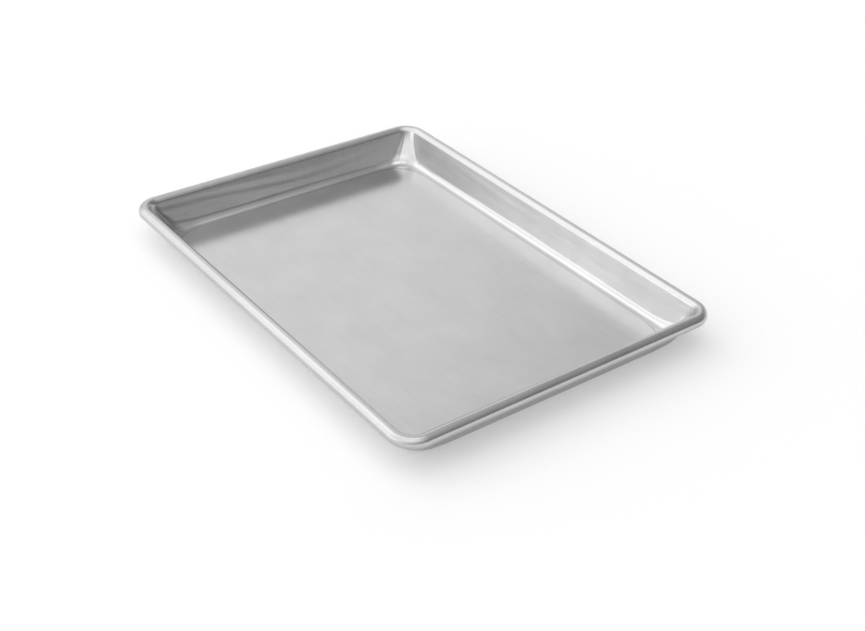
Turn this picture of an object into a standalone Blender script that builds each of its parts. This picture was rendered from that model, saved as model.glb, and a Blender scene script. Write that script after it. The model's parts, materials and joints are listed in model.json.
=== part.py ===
# Rimmed sheet pan: a pressed aluminium shell whose rim is curled round a steel wire.
# Metres, +Z up, X along the long side. The origin is the centre of the underside.

import math

import bmesh
import bpy
from mathutils import Vector

# Overall sizes
length_over_rim = 0.3302
width_over_rim = 0.2413
height = 0.0254
sheet = 0.0010

# Rim: the sheet curls round the wire with a little play
wire_diameter = 0.0055
wire_play = 0.0003
wire_joint_gap = 0.0010
rim_corner_radius = 0.0170
seam_gap = 0.0006

# Well: the flat floor and the fillet that turns it up into the walls
floor_setback = 0.0187
floor_corner_radius = 0.0170
fillet_radius = 0.0060

# Facets
corner_steps = 8
fillet_steps = 5
wall_steps = 4
curl_steps = 5
wire_bevel_resolution = 4

# Sizes that follow
bead_radius = wire_diameter / 2 + wire_play + sheet
bead_centre_height = height - bead_radius
bead_setback = bead_radius
bead_corner_radius = rim_corner_radius - bead_radius


def clear_scene():
    for old in list(bpy.data.objects):
        bpy.data.objects.remove(old, do_unlink=True)


def make_collection(name):
    collection = bpy.data.collections.new(name)
    bpy.context.scene.collection.children.link(collection)
    return collection


def metal(name, colour, roughness):
    material = bpy.data.materials.new(name)
    material.use_nodes = True
    surface = material.node_tree.nodes["Principled BSDF"]
    surface.inputs["Base Color"].default_value = (*colour, 1.0)
    surface.inputs["Metallic"].default_value = 1.0
    surface.inputs["Roughness"].default_value = roughness
    return material


def rounded_rectangle(setback, corner_radius, level):
    """Points of a level rounded rectangle, anticlockwise, starting at the +X +Y corner.

    Its sides lie setback inside the outside of the rim.
    """
    centre_x = length_over_rim / 2 - setback - corner_radius
    centre_y = width_over_rim / 2 - setback - corner_radius
    points = []
    for quarter, (side_x, side_y) in enumerate(((1, 1), (-1, 1), (-1, -1), (1, -1))):
        for step in range(corner_steps + 1):
            angle = math.radians(90) * (quarter + step / corner_steps)
            x = side_x * centre_x + corner_radius * math.cos(angle)
            y = side_y * centre_y + corner_radius * math.sin(angle)
            points.append(Vector((x, y, level)))
    return points


def wall_angle():
    """Slope of the straight wall, from level, where it is tangent to the fillet and to the bead."""
    run = floor_setback - bead_setback
    rise = bead_centre_height - (sheet + fillet_radius)
    centres = math.hypot(run, rise)
    return math.atan2(rise, run) + math.asin((fillet_radius + bead_radius) / centres)


def corner_radius_on_wall(level, top_level, top_radius, top_slope):
    """Corner radius in plan between the floor and the bead.

    A cubic in the level: it leaves the floor unchanged and meets the bead with the bead's own slope.
    """
    rise = top_level - sheet
    share = (level - sheet) / rise
    from_floor = 2 * share ** 3 - 3 * share ** 2 + 1
    to_top = 3 * share ** 2 - 2 * share ** 3
    slope_at_top = share ** 3 - share ** 2
    return from_floor * floor_corner_radius + to_top * top_radius + slope_at_top * top_slope * rise


def shell_rings():
    """Setback, level and plan corner radius of each ring of the shell's upper face, floor edge first."""
    slope = wall_angle()
    rings = []

    # Where the wall runs into the bead
    top_setback = bead_setback + bead_radius * math.sin(slope)
    top_level = bead_centre_height + bead_radius * math.cos(slope)
    top_radius = bead_corner_radius - bead_radius * math.sin(slope)
    outward_per_rise = 1 / math.tan(slope)

    def add_wall_ring(setback, level):
        radius = corner_radius_on_wall(level, top_level, top_radius, outward_per_rise)
        rings.append((setback, level, radius))

    # Fillet, from the flat floor up to the wall's slope
    for step in range(fillet_steps + 1):
        turn = slope * step / fillet_steps
        add_wall_ring(floor_setback - fillet_radius * math.sin(turn),
                      sheet + fillet_radius * (1 - math.cos(turn)))

    # Wall, from the fillet to the bead
    foot_setback, foot_level, _ = rings[-1]
    for step in range(1, wall_steps + 1):
        share = step / wall_steps
        add_wall_ring(foot_setback + (top_setback - foot_setback) * share,
                      foot_level + (top_level - foot_level) * share)

    # Curl, over the wire and back until its edge stands off the wall's outer face by the seam gap.
    # It stops at the bead's top, outermost and lowest rings, so the overall sizes come out exact.
    inner_radius = bead_radius - sheet
    edge_angle = math.acos((inner_radius - seam_gap) / bead_radius)
    start_angle = math.radians(90) + slope
    end_angle = start_angle + edge_angle - math.radians(360)
    stops = (start_angle, math.radians(90), 0.0, math.radians(-90), end_angle)
    for begin, finish in zip(stops, stops[1:]):
        for step in range(1, curl_steps + 1):
            angle = begin + (finish - begin) * step / curl_steps
            outward = bead_radius * math.cos(angle)
            rings.append((bead_setback - outward,
                          bead_centre_height + bead_radius * math.sin(angle),
                          bead_corner_radius + outward))
    return rings


def make_pan_shell(collection, material):
    """The upper face as a loft of rings, closed by the floor, then thickened downward and outward."""
    sheet_mesh = bmesh.new()
    loops = []
    for setback, level, corner_radius in shell_rings():
        loops.append([sheet_mesh.verts.new(p) for p in rounded_rectangle(setback, corner_radius, level)])
    sheet_mesh.faces.new(loops[0])
    count = len(loops[0])
    for lower, upper in zip(loops, loops[1:]):
        for i in range(count):
            j = (i + 1) % count
            sheet_mesh.faces.new((lower[j], lower[i], upper[i], upper[j]))
    mesh = bpy.data.meshes.new("pan_shell")
    sheet_mesh.to_mesh(mesh)
    sheet_mesh.free()

    shell = bpy.data.objects.new("pan_shell", mesh)
    collection.objects.link(shell)
    mesh.materials.append(material)
    mesh.shade_smooth()
    mesh.set_sharp_from_angle(angle=math.radians(50))
    thicken = shell.modifiers.new("sheet thickness", "SOLIDIFY")
    thicken.thickness = sheet
    thicken.offset = -1
    thicken.use_even_offset = True
    thicken.use_quality_normals = True
    return shell


def make_rim_wire(collection, material):
    """One bent length of wire inside the curl, its ends butted in the middle of the +Y side."""
    centre_line = rounded_rectangle(bead_setback, bead_corner_radius, bead_centre_height)
    first_corner = centre_line[:corner_steps + 1]
    other_corners = centre_line[corner_steps + 1:]
    side_y = width_over_rim / 2 - bead_setback
    start = Vector((-wire_joint_gap / 2, side_y, bead_centre_height))
    end = Vector((wire_joint_gap / 2, side_y, bead_centre_height))
    route = [start] + other_corners + first_corner + [end]

    curve = bpy.data.curves.new("rim_wire", "CURVE")
    curve.dimensions = "3D"
    curve.bevel_depth = wire_diameter / 2
    curve.bevel_resolution = wire_bevel_resolution
    curve.use_fill_caps = True
    spline = curve.splines.new("POLY")
    spline.points.add(len(route) - 1)
    for point, place in zip(spline.points, route):
        point.co = (*place, 1.0)
    curve.materials.append(material)
    wire = bpy.data.objects.new("rim_wire", curve)
    collection.objects.link(wire)
    return wire


clear_scene()
parts = make_collection("cookie_sheet")
make_pan_shell(parts, metal("satin_aluminium", (0.60, 0.60, 0.60), 0.32))
make_rim_wire(parts, metal("steel_wire", (0.45, 0.45, 0.46), 0.40))
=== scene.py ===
import json
import math

import bpy
import numpy as np
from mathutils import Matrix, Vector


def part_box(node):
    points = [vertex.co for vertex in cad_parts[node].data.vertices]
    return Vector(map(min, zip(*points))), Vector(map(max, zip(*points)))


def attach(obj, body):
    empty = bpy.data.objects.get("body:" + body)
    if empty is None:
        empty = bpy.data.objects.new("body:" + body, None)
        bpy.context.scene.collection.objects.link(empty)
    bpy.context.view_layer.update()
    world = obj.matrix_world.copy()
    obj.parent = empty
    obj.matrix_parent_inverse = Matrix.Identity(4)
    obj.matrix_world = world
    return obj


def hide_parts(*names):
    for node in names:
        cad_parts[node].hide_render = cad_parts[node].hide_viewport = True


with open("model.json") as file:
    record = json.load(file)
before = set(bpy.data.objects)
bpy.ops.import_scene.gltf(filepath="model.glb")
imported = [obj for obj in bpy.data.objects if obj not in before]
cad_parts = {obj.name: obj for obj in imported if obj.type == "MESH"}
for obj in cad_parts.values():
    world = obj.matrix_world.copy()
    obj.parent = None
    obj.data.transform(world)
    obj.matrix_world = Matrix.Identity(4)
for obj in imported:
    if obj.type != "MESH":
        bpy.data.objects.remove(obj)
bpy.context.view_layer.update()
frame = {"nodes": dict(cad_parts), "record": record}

# Rimmed baking sheet of pressed aluminium, its edge rolled round a steel wire, on a pale studio floor.
# Metres, +X along the long side, +Z up out of the well.

panLow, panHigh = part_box("pan_shell")
wireLow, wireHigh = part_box("rim_wire")

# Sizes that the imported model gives
panLength = panHigh.x - panLow.x
panWidth = panHigh.y - panLow.y
panHeight = panHigh.z - panLow.z
mounts = {mount["name"]: mount for mount in frame["record"]["mounts"]}
sheetThickness = mounts["baking_surface"]["pos_m"][2]
wireLevel = (wireLow.z + wireHigh.z) / 2
beadRadius = panHeight - wireLevel

print("frame loaded: pan %.1f x %.1f x %.1f mm" % (panLength * 1e3, panWidth * 1e3, panHeight * 1e3))


# Adds one node; inputs are given by name or number, as a value or as the socket that feeds them.
def addNode(tree, kind, inputs=None, **settings):
    node = tree.nodes.new(kind)
    for name, value in settings.items():
        setattr(node, name, value)
    for name, value in (inputs or {}).items():
        if isinstance(value, bpy.types.NodeSocket):
            tree.links.new(value, node.inputs[name])
        else:
            node.inputs[name].default_value = value
    return node


def addMath(tree, operation, *values):
    return addNode(tree, "ShaderNodeMath", dict(enumerate(values)), operation=operation).outputs[0]


# start + value * factor + value * factor ..., one term after another
def addTerms(tree, start, *terms):
    total = start
    for value, factor in terms:
        total = addMath(tree, "MULTIPLY_ADD", value, factor, total)
    return total


# Maps a value from one range to another, clamped at both ends.
def addRange(tree, value, fromLow, fromHigh, toLow, toHigh):
    node = addNode(tree, "ShaderNodeMapRange",
                   {"Value": value, "From Min": fromLow, "From Max": fromHigh,
                    "To Min": toLow, "To Max": toHigh})
    return node.outputs[0]


# Noise about zero in the space of place. A pattern is its scale along each axis, its octaves of detail
# and how strong the finer ones are; turn is in radians about Z.
def addGrain(tree, place, pattern, turn=0.0):
    scale, detail, roughness = pattern
    mapping = addNode(tree, "ShaderNodeMapping",
                      {"Vector": place, "Rotation": (0.0, 0.0, turn), "Scale": scale})
    noise = addNode(tree, "ShaderNodeTexNoise",
                    {"Vector": mapping.outputs[0], "Scale": 1.0, "Detail": detail, "Roughness": roughness})
    return addMath(tree, "SUBTRACT", noise.outputs["Fac"], 0.5)


# Two greys, mixed by share
def addGreys(tree, share, low, high):
    dark, light = (low, low, low, 1.0), (high, high, high, 1.0)
    mix = addNode(tree, "ShaderNodeMix", {"Factor": share, "A": dark, "B": light}, data_type="RGBA")
    return mix.outputs["Result"]


# A material with the metal shader; returns it with its node tree and the shader.
def newMetal(name):
    material = bpy.data.materials.new(name)
    material.use_nodes = True
    surface = material.node_tree.nodes["Principled BSDF"]
    surface.inputs["Metallic"].default_value = 1.0
    return material, material.node_tree, surface


# A mesh from whole arrays of points and of quads or triangles, smooth all over.
def meshFromArrays(name, points, quads, triangles=None):
    triangles = np.zeros((0, 3), int) if triangles is None else triangles
    corners = np.concatenate([quads.ravel(), triangles.ravel()]).astype(np.int32)
    sizes = np.concatenate([np.full(len(quads), 4), np.full(len(triangles), 3)])
    starts = np.concatenate([[0], np.cumsum(sizes)[:-1]]).astype(np.int32)
    mesh = bpy.data.meshes.new(name)
    mesh.vertices.add(len(points))
    mesh.vertices.foreach_set("co", points.astype(np.float32).ravel())
    mesh.loops.add(len(corners))
    mesh.loops.foreach_set("vertex_index", corners)
    mesh.polygons.add(len(sizes))
    mesh.polygons.foreach_set("loop_start", starts)
    mesh.update(calc_edges=True)
    mesh.validate()
    mesh.shade_smooth()
    return mesh


def placeObject(name, mesh):
    made = bpy.data.objects.new(name, mesh)
    bpy.context.scene.collection.objects.link(made)
    return made


# The camera, at the photograph's place
view = {
    "location": (0.622603, -0.456739, 0.484022),
    "turn": (56.6825, -1.65047, 53.5633),      # degrees, XYZ
    "lens": 56.543,
    "sensor": 36.0,
    "clip": (0.01, 50.0),
}


def placeCamera():
    data = bpy.data.cameras.new("photoView")
    data.lens = view["lens"]
    data.sensor_width = view["sensor"]
    data.clip_start, data.clip_end = view["clip"]
    camera = bpy.data.objects.new("photoView", data)
    camera.location = view["location"]
    camera.rotation_euler = [math.radians(a) for a in view["turn"]]
    bpy.context.scene.collection.objects.link(camera)
    bpy.context.scene.camera = camera


placeCamera()
print("camera placed")


# The pan: one pressed sheet, with floor, walls and rolled rim
pan = {
    "floorSetback": 0.0187,       # from the rim's outside to the flat floor's edge, in plan
    "floorCornerRadius": 0.0170,
    "rimCornerRadius": 0.0170,    # of the rim's outside, in plan
    "filletRadius": 0.0060,       # where the sides rise from the floor,
    "cornerFilletRadius": 0.0100, # and in the middle of a drawn corner
    "cornerReach": 0.0300,        # how far from that middle the wider fillet begins
    "ridgeHeight": 0.00006,       # of the faint ridge that the press leaves round the floor,
    "ridgeWidth": 0.0016,         # from its foot at the fillet to its top,
    "ridgeReach": 0.0060,         # and from that foot to the flat floor
    "footWidth": 0.0005,          # half the width of the painted shade line at the fillet's foot
    "seamGap": 0.0006,            # between the curl's edge and the wall's outer face
    "dullShadeFrom": 60.0,             # degrees above level, round the bead, where its outside starts to dull and take painted shade, and where it is fully so
    "dullShadeTo": -30.0,              # dull, and where it is fully dull
    "filletRise": 0.3,            # share of the way from floor to bead that the fillet counts as
    "wallWave": 0.00008,          # how far the drawn walls stray from flat, in the waves below: amount,
    "wallWaves": ((0.6, 2.1, 0.45, 3, 0.4, 0.0),     # rises, lean, turns, start and shift
                  (0.4, 3.6, 0.50, 5, 2.0, 1.0)),
    "fluteDepth": 0.00009,        # of the faint upright folds in the drawn corners,
    "flutes": 4,                  # in each corner, in the folds below: amount, times, lean and start
    "cornerFolds": ((0.7, 1.0, 1.5, 0.0), (0.5, 1.45, -2.2, 0.8), (0.3, 2.3, 0.0, 2.0)),
    "floorWave": 0.00002,         # the same for the floor: radians per metre along X and Y, and start
    "floorWaves": ((31, 9, 0.0), (-17, 43, 1.0), (58, 24, 2.0)),
    "cornerSteps": 60,
    "longSideSteps": 46,
    "shortSideSteps": 34,
    "sideCrowding": 0.11,         # how much closer a side's stations are near the corners,
    "ridgeCrowding": 1.5,         # and the ridge's rows near the fillet
    "floorSteps": 20,
    "ridgeSteps": 10,
    "filletSteps": 12,
    "wallSteps": 26,
    "curlSteps": 40,
    "edgeSteps": 6,
    "plainRows": 200,             # of the plain fillet that the others are compared with
    "floorRun": 0.1,              # length that the floor takes in the sheetRun map,
    "middleRun": 0.01,            # and its innermost ring
}


# Slope of the straight wall, tangent to the fillet below and to the bead above:
# the angle of the line between their centres plus the angle that the two radii add to it.
def wallSlope():
    run = pan["floorSetback"] - beadRadius
    rise = wireLevel - (sheetThickness + pan["filletRadius"])
    return math.atan2(rise, run) + math.asin((pan["filletRadius"] + beadRadius) / math.hypot(run, rise))


# Corner radius in plan of the face at a level between floor and bead: a cubic in the level that leaves
# the floor unchanged and meets the bead with the bead's own slope.
def cornerRadiusAt(level, top, slope):
    rise = top["level"] - sheetThickness
    s = (level - sheetThickness) / rise
    return ((2 * s ** 3 - 3 * s ** 2 + 1) * pan["floorCornerRadius"]
            + (3 * s ** 2 - 2 * s ** 3) * top["corner"]
            + (s ** 3 - s ** 2) * rise / math.tan(slope))


# Fillet and wall of the upper face, one row for each point of the section and one column for each fillet
# radius given. Fillet: turns from 0 to the slope about a centre above the floor, its foot further in
# by (radius - side radius) * tan(slope / 2), so the wall's line stays. Wall: straight to the top.
def bendSheet(radius, turn, share, top, slope):
    foot = pan["floorSetback"] + (radius - pan["filletRadius"]) * math.tan(slope / 2)
    setback = foot - radius * np.sin(turn)
    level = sheetThickness + radius * (1 - np.cos(turn))
    setback = np.vstack([setback, setback[-1] + (top["setback"] - setback[-1]) * share])
    level = np.vstack([level, level[-1] + (top["level"] - level[-1]) * share])
    return setback, level


# Height of the faint ridge round the floor, by the distance from the fillet's foot: a half cosine wave up
# to its top over the width, and a longer one down to the floor over the rest of the reach.
def ridgeRise(distance):
    width, reach = pan["ridgeWidth"], pan["ridgeReach"]
    up = (1 - np.cos(math.pi * np.clip(distance / width, 0, 1))) / 2
    down = (1 + np.cos(math.pi * np.clip((distance - width) / (reach - width), 0, 1))) / 2
    return pan["ridgeHeight"] * up * down


# The sheet's upper face: the ridge round the floor, the fillet, the wall and the curl, one row for each
# point of the section. With a column for each station come the ring's setback and corner radius of the
# plain section at that level, how far the point lies inside that ring, and its level. With one column
# come the face's direction (outward, up), the share of the way up from floor (0) to bead (1), and how
# much a row belongs to the fillet (a half sine wave over it), the line at its foot that is painted in shade
# (exp(-(distance / width)^2)), the bead and the outside, which is duller and painted in shade.
# Curl: an arc round the wire, from the wall's slope to the end angle.
def upperRows(filletRadius, slope, endAngle):
    radius, across = beadRadius, np.ones((1, len(filletRadius)))
    beadCorner = pan["rimCornerRadius"] - radius
    top = {"setback": radius + radius * math.sin(slope), "level": wireLevel + radius * math.cos(slope),
           "corner": beadCorner - radius * math.sin(slope)}
    inward = np.linspace(1.0, 0.0, pan["ridgeSteps"] + 1)[:-1, None]
    ridge = pan["ridgeReach"] * inward ** pan["ridgeCrowding"]
    turn = np.linspace(0.0, slope, pan["filletSteps"] + 1)[:, None]
    share = np.linspace(0.0, 1.0, pan["wallSteps"] + 1)[1:, None]
    angle = np.linspace(math.pi / 2 + slope, endAngle, pan["curlSteps"] + 1)[1:, None]
    setback, level = bendSheet(filletRadius, turn, share, top, slope)

    # The plain section's setback at each level, from its finely divided fillet and its wall
    fine = np.linspace(0.0, slope, pan["plainRows"])[:, None]
    sideRadius = np.array([pan["filletRadius"]])
    plainSetback, plainLevel = bendSheet(sideRadius, fine, np.array([[1.0]]), top, slope)
    ringSetback = np.interp(level, plainLevel[:, 0], plainSetback[:, 0])
    ringCorner = cornerRadiusAt(level, top, slope)
    inside = setback - ringSetback
    curlOut = radius * np.cos(angle) * across

    # Zeros for the rows of each stretch. The ridge's rows stay on the foot's ring, each its distance inside.
    onRidge, onFillet, onWall, onCurl = 0 * ridge, 0 * turn, 0 * share, 0 * angle
    straight = np.full(share.shape, slope)
    fromFoot = np.vstack([ridge, turn * pan["filletRadius"], onWall + 1, onCurl + 1])
    # The bead's lower side gets a duller finish and painted shade, for the shadowed floor it reflects
    dullShade = np.interp(-angle, np.radians([-pan["dullShadeFrom"], -pan["dullShadeTo"]]), [0.0, 1.0])
    return {
        "ringSetback": np.vstack([ringSetback[0] + onRidge, ringSetback, radius - curlOut]),
        "ringCorner": np.vstack([ringCorner[0] + onRidge, ringCorner, beadCorner + curlOut]),
        "inside": np.vstack([inside[0] + ridge, inside, 0 * curlOut]),
        "level": np.vstack([level[0] + ridgeRise(ridge), level, wireLevel + radius * np.sin(angle) * across]),
        "faceOut": np.vstack([onRidge, -np.sin(turn), -np.sin(straight), np.cos(angle)]),
        "faceUp": np.vstack([onRidge + 1, np.cos(turn), np.cos(straight), np.sin(angle)]),
        "rise": np.vstack([onRidge, turn / slope * pan["filletRise"],
                           pan["filletRise"] + (1 - pan["filletRise"]) * share, onCurl + 1]),
        "fillet": np.vstack([onRidge, np.sin(math.pi * turn / slope), onWall, onCurl]),
        # foot: the line at the fillet's foot, which is painted in shade
        "foot": np.exp(-(fromFoot / pan["footWidth"]) ** 2),
        "bead": np.vstack([onRidge, onFillet, onWall, onCurl + 1]),
        # outer: the outside's share of duller finish and painted shade
        "outer": np.vstack([onRidge, onFillet, onWall, dullShade]),
    }


# The whole section, with the same rows: the upper face, then its edge and the lower face. The curl stops
# a seam gap short of the wall. Edge: a half circle. Lower face: the upper one backwards, moved by the
# sheet's thickness against its direction. Both belong to the outside, which is duller and painted in shade.
def sectionRows(filletRadius):
    slope, across = wallSlope(), np.ones((1, len(filletRadius)))
    edgeAngle = math.acos((beadRadius - sheetThickness - pan["seamGap"]) / beadRadius)
    endAngle = math.pi / 2 + slope + edgeAngle - 2 * math.pi + sheetThickness / 2 / beadRadius
    upper = upperRows(filletRadius, slope, endAngle)

    half = sheetThickness / 2
    halfTurn = np.linspace(0.0, math.pi, pan["edgeSteps"] + 2)[1:-1, None]
    faceOut, faceUp = upper["faceOut"], upper["faceUp"]
    edgeOut = half * ((np.cos(halfTurn) - 1) * faceOut[-1] + np.sin(halfTurn) * math.sin(endAngle)) * across
    edgeUp = half * ((np.cos(halfTurn) - 1) * faceUp[-1] - np.sin(halfTurn) * math.cos(endAngle)) * across

    # What the edge adds to the upper face's last row, and the lower face to its rows
    edge = {"ringSetback": -edgeOut, "ringCorner": edgeOut, "level": edgeUp}
    lower = {"inside": sheetThickness * faceOut[::-1] * across,
             "level": -sheetThickness * faceUp[::-1] * across}
    rows = {}
    for name, face in upper.items():
        rows[name] = np.vstack([face, face[-1] + edge.get(name, 0 * halfTurn),
                                face[::-1] + lower.get(name, 0)])
    # The whole lower face takes the outside's duller finish and painted shade
    rows["outer"][len(faceOut):] = 1
    return rows


# Stations round a rounded rectangle, anticlockwise: the corner centre's signs in X and Y, the direction
# from that centre, and how much the station belongs to the corner: 0 at a side, 1 in the corner's middle,
# as the root of a half sine wave. Along a side the signs run straight from one corner to the next, closer
# together near the corners.
def rimStations():
    signs = np.array([(1, 1), (-1, 1), (-1, -1), (1, -1)], float)
    across, along, direction, corner = [], [], [], []
    for quarter in range(4):
        here, after = signs[quarter], signs[(quarter + 1) % 4]
        turn = np.linspace(0.0, 1.0, pan["cornerSteps"] + 1)
        steps = pan["longSideSteps"] if quarter % 2 == 0 else pan["shortSideSteps"]
        share = np.linspace(0.0, 1.0, steps + 1)[1:-1]
        share = share - pan["sideCrowding"] * np.sin(2 * math.pi * share)
        across += [np.full(len(turn), here[0]), here[0] + (after[0] - here[0]) * share]
        along += [np.full(len(turn), here[1]), here[1] + (after[1] - here[1]) * share]
        direction += [(quarter + turn) * math.pi / 2, np.full(len(share), (quarter + 1) * math.pi / 2)]
        corner += [np.sin(math.pi * turn) ** 0.5, np.zeros(len(share))]
    return [np.concatenate(parts) for parts in (across, along, direction, corner)]


# Fillet radius at each station: the side's own, growing towards the corner's middle. With d the distance
# from the middle of the nearest corner, the share is (1 + cos(pi * d / reach)) / 2, none past the reach.
def filletRadii(across, along, direction):
    cornerX = panLength / 2 - pan["rimCornerRadius"]
    cornerY = panWidth / 2 - pan["rimCornerRadius"]
    onSide = np.hypot((1 - np.abs(across)) * cornerX, (1 - np.abs(along)) * cornerY)
    aroundCorner = np.abs(np.remainder(direction, math.pi / 2) - math.pi / 4)
    distance = onSide + np.where(onSide > 0, math.pi / 4, aroundCorner) * pan["rimCornerRadius"]
    share = (1 + np.cos(math.pi * np.minimum(distance / pan["cornerReach"], 1.0))) / 2
    return pan["filletRadius"] + (pan["cornerFilletRadius"] - pan["filletRadius"]) * share


# How far a point of the wall strays along its face's direction. Along the sides, slow waves that lean as
# they run round: sin(2 pi * (rises * rise + lean * sin(turns * way round + start)) + shift). In the
# corners, upright folds: sin(times * 4 * flutes * direction + lean * rise + start). Both are none at the
# floor's edge and under the bead: rise * (1 - rise) * 4.
def wallStray(rise, roundShare, direction, cornerShare):
    wayRound, share = 2 * math.pi * roundShare[None], cornerShare[None]
    wave = sum(amount * np.sin(2 * math.pi * (rises * rise + lean * np.sin(turns * wayRound + start)) + shift)
               for amount, rises, lean, turns, start, shift in pan["wallWaves"])
    fold = sum(amount * np.sin(times * 4 * pan["flutes"] * direction[None] + lean * rise + start)
               for amount, times, lean, start in pan["cornerFolds"])
    depth = pan["wallWave"] * (1 - share) * wave + pan["fluteDepth"] * share ** 2 * fold
    return 4 * rise * (1 - rise) * depth


# Gentle unevenness of the floor: the mean of long waves, sin(perX * x + perY * y + start), none at its edge
def floorStray(x, y, share):
    waves = [np.sin(perX * x + perY * y + start) for perX, perY, start in pan["floorWaves"]]
    return pan["floorWave"] * (1 - share ** 4) * (sum(waves) / len(waves))


# A UV map for the quads, then the top and the bottom fan, each given as its corners' u and v arrays.
def addUv(mesh, name, *groups):
    pairs = [np.stack([np.stack(us, -1), np.stack(vs, -1)], -1).reshape(-1, 2) for us, vs in groups]
    layer = mesh.uv_layers.new(name=name)
    layer.uv.foreach_set("vector", np.concatenate(pairs).astype(np.float32).ravel())


# Two UV maps in metres. sheetRun is the distance round the rim by the distance along the section.
# flatBlank is each point's place in the flat sheet before pressing: the floor's edge plus the distance
# up the section, in the direction of the station.
def mapSheet(mesh, x, y, roundTo, upTo, floorShare, direction):
    edge, (rows, columns) = len(floorShare), x.shape
    fromFloor = np.minimum(upTo, upTo[-1] - upTo)[:, None]
    blankX = np.vstack([x[:edge], x[edge] + fromFloor * np.cos(direction), x[-edge:]])
    blankY = np.vstack([y[:edge], y[edge] + fromFloor * np.sin(direction), y[-edge:]])
    floorRun, middleRun = pan["floorRun"], pan["middleRun"]
    upTo = np.concatenate([-(1 - floorShare[:, 0]) * floorRun, upTo,
                           upTo[-1] + (1 - floorShare[::-1, 0]) * floorRun])
    u = np.broadcast_to(roundTo[:-1], (rows, columns))
    uNext = np.broadcast_to(roundTo[1:], (rows, columns))
    v = np.broadcast_to(upTo[:, None], (rows, columns))
    addUv(mesh, "sheetRun",
          [[u[:-1], u[1:], uNext[1:], uNext[:-1]], [v[:-1], v[1:], v[1:], v[:-1]]],
          [[u[0], u[0], uNext[0]], [v[0] - middleRun, v[0], v[0]]],
          [[u[-1], uNext[-1], u[-1]], [v[-1] + middleRun, v[-1], v[-1]]])
    blankNextX, blankNextY = np.roll(blankX, -1, axis=1), np.roll(blankY, -1, axis=1)
    zero = np.zeros(columns)
    addUv(mesh, "flatBlank",
          [[blankX[:-1], blankX[1:], blankNextX[1:], blankNextX[:-1]],
           [blankY[:-1], blankY[1:], blankNextY[1:], blankNextY[:-1]]],
          [[zero, blankX[0], blankNextX[0]], [zero, blankY[0], blankNextY[0]]],
          [[zero, blankNextX[-1], blankX[-1]], [zero, blankNextY[-1], blankY[-1]]])


# Where the finish changes and shade is painted: up the wall, on the fillet, at its foot (painted shade),
# on the bead and outside (duller, painted shade), each by the row of the section, and in the corners, by
# the station. The floor's rows have none of the first five, and those of its underside only the outside's.
def markFinish(mesh, line, cornerShare, floorRows):
    rows, columns = len(line["rise"]) + 2 * floorRows, len(cornerShare)
    for name, key, floorLow in (("wallRise", "rise", 0.0), ("filletShare", "fillet", 0.0),
                                ("footShadeShare", "foot", 0.0), ("beadShare", "bead", 0.0),
                                ("outsideDullShadeShare", "outer", 1.0)):
        column = np.concatenate([np.zeros(floorRows), line[key][:, 0], np.full(floorRows, floorLow)])
        values = np.append(np.repeat(column, columns), (0.0, floorLow))
        field = mesh.attributes.new(name, "FLOAT", "POINT")
        field.data.foreach_set("value", values.astype(np.float32))
    values = np.append(np.tile(cornerShare, rows), (0.0, 0.0))
    field = mesh.attributes.new("cornerShare", "FLOAT", "POINT")
    field.data.foreach_set("value", values.astype(np.float32))


# The sheet's surface, with one row for each point of the section and one column for each station:
# x = side * (half length - setback - corner radius) + (corner radius - inside) * cos(direction), and y the
# same way, then each wall point moved along its face's direction by its stray.
# The floor's rows are its edge drawn in towards the middle, closed there by a fan of triangles.
def pressPan():
    across, along, direction, cornerShare = rimStations()
    line = sectionRows(filletRadii(across, along, direction))
    setback, corner = line["ringSetback"], line["ringCorner"]
    x = across * (panLength / 2 - setback - corner) + (corner - line["inside"]) * np.cos(direction)
    y = along * (panWidth / 2 - setback - corner) + (corner - line["inside"]) * np.sin(direction)
    z = line["level"].copy()

    # Distance round the rim and up the section, for the maps and the strays
    rim = int(np.argmin(setback[:, 0]))
    stepRound = np.hypot(np.diff(x[rim], append=x[rim, 0]), np.diff(y[rim], append=y[rim, 0]))
    roundTo = np.concatenate([[0.0], np.cumsum(stepRound)])
    side = int(np.argmin(np.abs(across)))
    stepUp = np.sqrt(np.diff(x[:, side]) ** 2 + np.diff(y[:, side]) ** 2 + np.diff(z[:, side]) ** 2)
    upTo = np.concatenate([[0.0], np.cumsum(stepUp)])

    stray = wallStray(line["rise"], roundTo[:-1] / roundTo[-1], direction, cornerShare)
    x += stray * line["faceOut"] * np.cos(direction)
    y += stray * line["faceOut"] * np.sin(direction)
    z += stray * line["faceUp"]

    share = np.linspace(0.0, 1.0, pan["floorSteps"] + 1)[1:-1, None]
    topX, topY = share * x[0], share * y[0]
    lowX, lowY = share[::-1] * x[-1], share[::-1] * y[-1]
    x = np.vstack([topX, x, lowX])
    y = np.vstack([topY, y, lowY])
    z = np.vstack([z[0, 0] + floorStray(topX, topY, share), z, np.full(lowX.shape, z[-1, 0])])
    rows, columns = x.shape

    middle = [(0, 0, line["level"][0, 0] + float(floorStray(0.0, 0.0, 0.0))), (0, 0, line["level"][-1, 0])]
    points = np.vstack([np.stack([x, y, z], axis=-1).reshape(-1, 3), middle])
    points[:, 2] += panLow.z
    index = np.arange(rows * columns).reshape(rows, columns)
    after = np.roll(index, -1, axis=1)
    quads = np.stack([index[:-1], index[1:], after[1:], after[:-1]], axis=-1).reshape(-1, 4)
    top = np.stack([np.full(columns, rows * columns), index[0], after[0]], axis=-1)
    bottom = np.stack([np.full(columns, rows * columns + 1), after[-1], index[-1]], axis=-1)
    mesh = meshFromArrays("pressedPan", points, quads, np.vstack([top, bottom]))
    mapSheet(mesh, x, y, roundTo, upTo, share, direction)
    markFinish(mesh, line, cornerShare, len(share))
    return placeObject("pressedPan", mesh)


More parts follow.
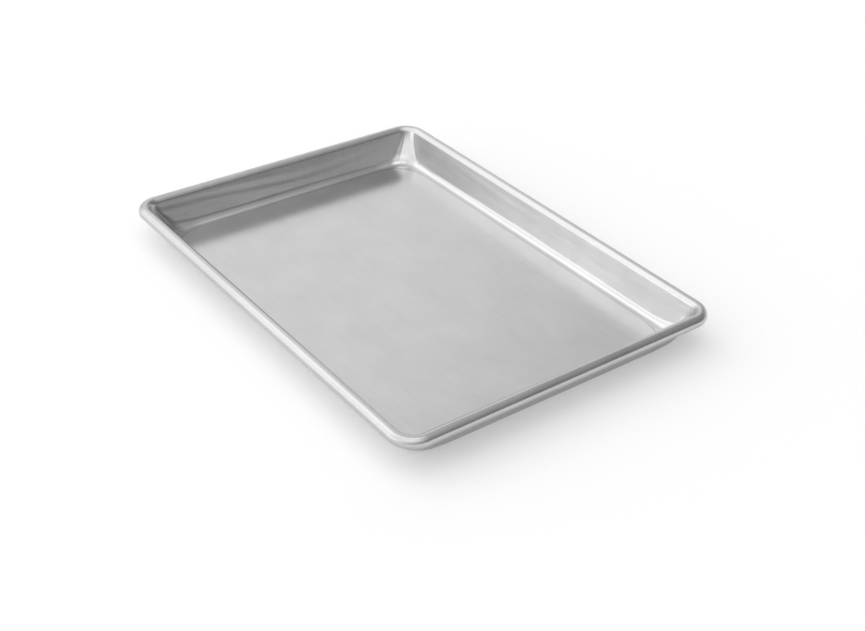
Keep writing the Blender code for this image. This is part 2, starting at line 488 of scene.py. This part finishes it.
satinFinish = {
    "base": 0.70,                 # linear grey of the aluminium
    "baseSpread": 0.036,          # how far it strays either way,
    "toneRange": 0.35,            # when the patterns stray this far
    "outsideDullShade": 0.66,            # the outside is duller and painted darker with shade, as a share of the base, and painted shade darkens the line at the fillet's foot by this much of it
    "footPaintedShade": 0.85,         # and so is the line at the fillet's foot, by this much of it
    "roughness": 0.185,           # of the floor
    "anisotropy": 0.60,
    "grainTurn": 0.25,            # of a full turn: rougher across the grain
    "roughnessSpread": 0.05,
    "wallRoughness": 0.07,        # more on the drawn walls, in full from this share of the way up,
    "wallFrom": 0.15,
    "filletRoughness": -0.10,     # less where the punch has burnished the fillet,
    "beadRoughness": 0.015,       # a little more on the rolled bead,
    "cornerRoughness": -0.11,     # less in the drawn corners,
    "outerRoughness": 0.08,       # and more on the outside and in the scratches
    "scratchRoughness": 0.01,
    # Patterns: scale along each axis, octaves of detail, and how strong the finer ones are
    "mill": ((14.0, 620.0, 1.0), 5.0, 0.60),
    "fineMill": ((45.0, 2300.0, 1.0), 2.0, 0.55),
    "blotch": ((24.0, 31.0, 31.0), 3.0, 0.55),
    "speck": ((1500.0, 1500.0, 1500.0), 2.0, 0.55),
    "beadRun": ((16.0, 2600.0, 1.0), 3.0, 0.55),
    "cornerDraw": ((950.0, 50.0, 1.0), 3.0, 0.55),
    "scratches": ((((12.0, 760.0, 1.0), 1.0, 0.55), 0.35),      # each with its turn in radians
                  (((14.0, 900.0, 1.0), 1.0, 0.55), 2.60),
                  (((11.0, 820.0, 1.0), 1.0, 0.55), 1.35)),
    "scratchRange": (0.25, 0.30), # of the noise, from no scratch to a full one
    "millWeights": (0.6, 0.7),    # of the coarse and the fine grain,
    "blotchWeight": 1.4,          # of the blotches in the tone,
    "speckRelief": 0.5,           # and of specks and scratches in the relief
    "scratchRelief": -0.15,
    "bumpDistance": 0.00003,
}


# Satin mill-finish aluminium: rolled grain along X of the blank, soft blotches, fine specks, lines that
# run along the bead and up the drawn corners, and a few hairline scratches. Tone, roughness and relief
# are each a sum of these patterns, weighed by where on the sheet they are. The tone is also darker
# with painted shade on the outside and on the line at the fillet's foot.
def satinAluminium():
    material, tree, surface = newMetal("satinAluminium")
    finish = satinFinish
    surface.inputs["Anisotropic"].default_value = finish["anisotropy"]
    surface.inputs["Anisotropic Rotation"].default_value = finish["grainTurn"]
    along = addNode(tree, "ShaderNodeTangent", direction_type="UV_MAP", uv_map="flatBlank")
    tree.links.new(along.outputs[0], surface.inputs["Tangent"])

    place = addNode(tree, "ShaderNodeTexCoord").outputs["Object"]
    sheetRun = addNode(tree, "ShaderNodeUVMap", uv_map="sheetRun").outputs[0]
    flatBlank = addNode(tree, "ShaderNodeUVMap", uv_map="flatBlank").outputs[0]
    wallRise, filletShare, footShadeShare, beadShare, outsideDullShadeShare, cornerShare = [
        addNode(tree, "ShaderNodeAttribute", attribute_name=name).outputs["Fac"]
        for name in ("wallRise", "filletShare", "footShadeShare", "beadShare", "outsideDullShadeShare", "cornerShare")]

    mill = addGrain(tree, flatBlank, finish["mill"])
    fineMill = addGrain(tree, flatBlank, finish["fineMill"])
    blotch = addGrain(tree, place, finish["blotch"])
    speck = addGrain(tree, place, finish["speck"])
    beadRun = addGrain(tree, sheetRun, finish["beadRun"])
    cornerDraw = addGrain(tree, sheetRun, finish["cornerDraw"])
    scratch = 0.0
    for pattern, turn in finish["scratches"]:
        line = addRange(tree, addGrain(tree, flatBlank, pattern, turn), *finish["scratchRange"], 0.0, 1.0)
        scratch = addMath(tree, "MAXIMUM", scratch, line)

    offBead = addMath(tree, "SUBTRACT", 1.0, beadShare)
    onCorner = addMath(tree, "MULTIPLY", addMath(tree, "MULTIPLY", cornerShare, wallRise), offBead)
    coarse, fine = finish["millWeights"]
    milled = addMath(tree, "MULTIPLY", addTerms(tree, 0.0, (mill, coarse), (fineMill, fine)), offBead)
    grain = addTerms(tree, milled, (beadRun, beadShare), (cornerDraw, onCorner))

    reach = finish["toneRange"]
    tone = addRange(tree, addTerms(tree, grain, (blotch, finish["blotchWeight"])), -reach, reach, 0.0, 1.0)
    # Painted shade: the outside takes a darker grey, for the shadowed floor it reflects, on top of a duller
    # finish
    base, spread, dullShade = finish["base"], finish["baseSpread"], finish["outsideDullShade"]
    inside = addGreys(tree, tone, base - spread, base + spread)
    outside = addGreys(tree, tone, (base - spread) * dullShade, (base + spread) * dullShade)
    # Painted shade: the line at the fillet's foot takes the darker grey, for the shade in the crease
    footShade = addMath(tree, "MULTIPLY", footShadeShare, finish["footPaintedShade"])
    dullShadeShare = addMath(tree, "MAXIMUM", outsideDullShadeShare, footShade)
    colour = addNode(tree, "ShaderNodeMix", {"Factor": dullShadeShare, "A": inside, "B": outside}, data_type="RGBA")
    tree.links.new(colour.outputs["Result"], surface.inputs["Base Color"])

    onWall = addRange(tree, wallRise, 0.0, finish["wallFrom"], 0.0, 1.0)
    rough = addTerms(tree, finish["roughness"], (grain, finish["roughnessSpread"]),
                     (blotch, finish["roughnessSpread"]), (onWall, finish["wallRoughness"]),
                     (filletShare, finish["filletRoughness"]), (beadShare, finish["beadRoughness"]),
                     (onCorner, finish["cornerRoughness"]), (outsideDullShadeShare, finish["outerRoughness"]),
                     (scratch, finish["scratchRoughness"]))
    tree.links.new(rough, surface.inputs["Roughness"])

    relief = addTerms(tree, grain, (speck, finish["speckRelief"]), (scratch, finish["scratchRelief"]))
    bump = addNode(tree, "ShaderNodeBump", {"Height": relief, "Strength": 1.0,
                                            "Distance": finish["bumpDistance"]})
    tree.links.new(bump.outputs[0], surface.inputs["Normal"])
    return material


pressedPan = pressPan()
pressedPan.data.materials.append(satinAluminium())
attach(pressedPan, "root")
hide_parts("pan_shell")
print("pan pressed: %d faces" % len(pressedPan.data.polygons))


# The rim wire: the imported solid, with a drawn steel finish
wireFinish = {
    "base": 0.45,
    "baseSpread": 0.05,           # how far it strays either way,
    "toneRange": 0.3,             # when the mottle strays this far
    "roughness": (0.30, 0.46),    # lowest and highest,
    "roughnessRange": 0.2,        # when the mottle strays this far either way
    "mottle": ((420.0, 420.0, 420.0), 4.0, 0.55),    # scale, octaves and strength of the finer ones
    "bumpDistance": 0.00003,
}


# Plain drawn steel: mottled grey, a little rough.
def drawnSteel():
    material, tree, surface = newMetal("drawnSteel")
    place = addNode(tree, "ShaderNodeTexCoord").outputs["Object"]
    mottle = addGrain(tree, place, wireFinish["mottle"])
    reach, base, spread = wireFinish["toneRange"], wireFinish["base"], wireFinish["baseSpread"]
    share = addRange(tree, mottle, -reach, reach, 0.0, 1.0)
    tree.links.new(addGreys(tree, share, base - spread, base + spread), surface.inputs["Base Color"])
    reach = wireFinish["roughnessRange"]
    rough = addRange(tree, mottle, -reach, reach, *wireFinish["roughness"])
    tree.links.new(rough, surface.inputs["Roughness"])
    bump = addNode(tree, "ShaderNodeBump", {"Height": mottle, "Strength": 1.0,
                                            "Distance": wireFinish["bumpDistance"]})
    tree.links.new(bump.outputs[0], surface.inputs["Normal"])
    return material


rimWire = frame["nodes"]["rim_wire"]
for wireSlot in rimWire.material_slots:
    wireSlot.material = drawnSteel()
print("wire finished")


# The studio: pale floor and soft light. Each soft box is an amount, its azimuth from +X and its
# elevation in degrees, and how compact it is. Of one below the horizon only the upper part shows.
studio = {
    "floorSize": 60.0,
    "floorDrop": 0.0002,
    "floorColour": 0.80,
    "floorGlow": 0.26,            # of white, seen by the camera and in the metal
    "floorShade": 0.91,           # how much of the light and shadow is seen on top
    "roomTone": 0.10,
    "softBoxes": ((2.10, -118, -17, 2.93),     # left of the camera, wide and low
                  (0.66, 146, 28, 12.5),       # beyond the pan
                  (1.06, -41, 58, 4.1),        # above the camera
                  (1.55, 102, -17, 9.6),       # far right, low
                  (1.04, -161, 49, 12),        # far left, high
                  (1.00, 110, 79, 50)),        # overhead, small
}


# The floor lights the object as a plain pale surface; camera, mirror and glass rays see it near white,
# with the object's shadow on it.
def layFloor():
    half = studio["floorSize"] / 2
    low = panLow.z - studio["floorDrop"]
    points = np.array([(-half, -half, low), (half, -half, low), (half, half, low), (-half, half, low)])
    floor = placeObject("studioFloor", meshFromArrays("studioFloor", points, np.array([[0, 1, 2, 3]])))
    material = bpy.data.materials.new("paleFloor")
    material.use_nodes = True
    tree = material.node_tree
    tree.nodes.clear()
    output = tree.nodes.new("ShaderNodeOutputMaterial")
    tone, shade, white = studio["floorColour"], studio["floorShade"], (1.0, 1.0, 1.0, 1.0)
    matt = addNode(tree, "ShaderNodeBsdfDiffuse", {"Color": (tone, tone, tone, 1.0)})
    seen = addNode(tree, "ShaderNodeBsdfDiffuse", {"Color": (shade, shade, shade, 1.0)})
    glow = addNode(tree, "ShaderNodeEmission", {"Color": white, "Strength": studio["floorGlow"]})
    both = addNode(tree, "ShaderNodeAddShader", {0: seen.outputs[0], 1: glow.outputs[0]})
    path = tree.nodes.new("ShaderNodeLightPath")
    direct = addMath(tree, "MAXIMUM", path.outputs["Is Camera Ray"], path.outputs["Is Glossy Ray"])
    direct = addMath(tree, "MAXIMUM", direct, path.outputs["Is Transmission Ray"])
    mixed = addNode(tree, "ShaderNodeMixShader", {0: direct, 1: matt.outputs[0], 2: both.outputs[0]})
    tree.links.new(mixed.outputs[0], output.inputs["Surface"])
    floor.data.materials.append(material)


# The room's light: a plain tone plus the soft boxes, each amount * exp(compactness * (cosine of the
# angle to the box's middle - 1)).
def lightRoom():
    world = bpy.data.worlds.new("studioRoom")
    world.use_nodes = True
    tree = world.node_tree
    place = addNode(tree, "ShaderNodeTexCoord").outputs["Generated"]
    tone = studio["roomTone"]
    for amount, azimuth, elevation, compact in studio["softBoxes"]:
        turn, rise = math.radians(azimuth), math.radians(elevation)
        middle = (math.cos(rise) * math.cos(turn), math.cos(rise) * math.sin(turn), math.sin(rise))
        facing = addNode(tree, "ShaderNodeVectorMath", {0: place, 1: middle}, operation="DOT_PRODUCT")
        power = addMath(tree, "MULTIPLY_ADD", facing.outputs["Value"], compact, -compact)
        tone = addTerms(tree, tone, (addMath(tree, "EXPONENT", power), amount))
    tree.links.new(tone, tree.nodes["Background"].inputs["Color"])
    bpy.context.scene.world = world


layFloor()
lightRoom()
bpy.context.scene.view_settings.view_transform = "Standard"
print("studio lit")
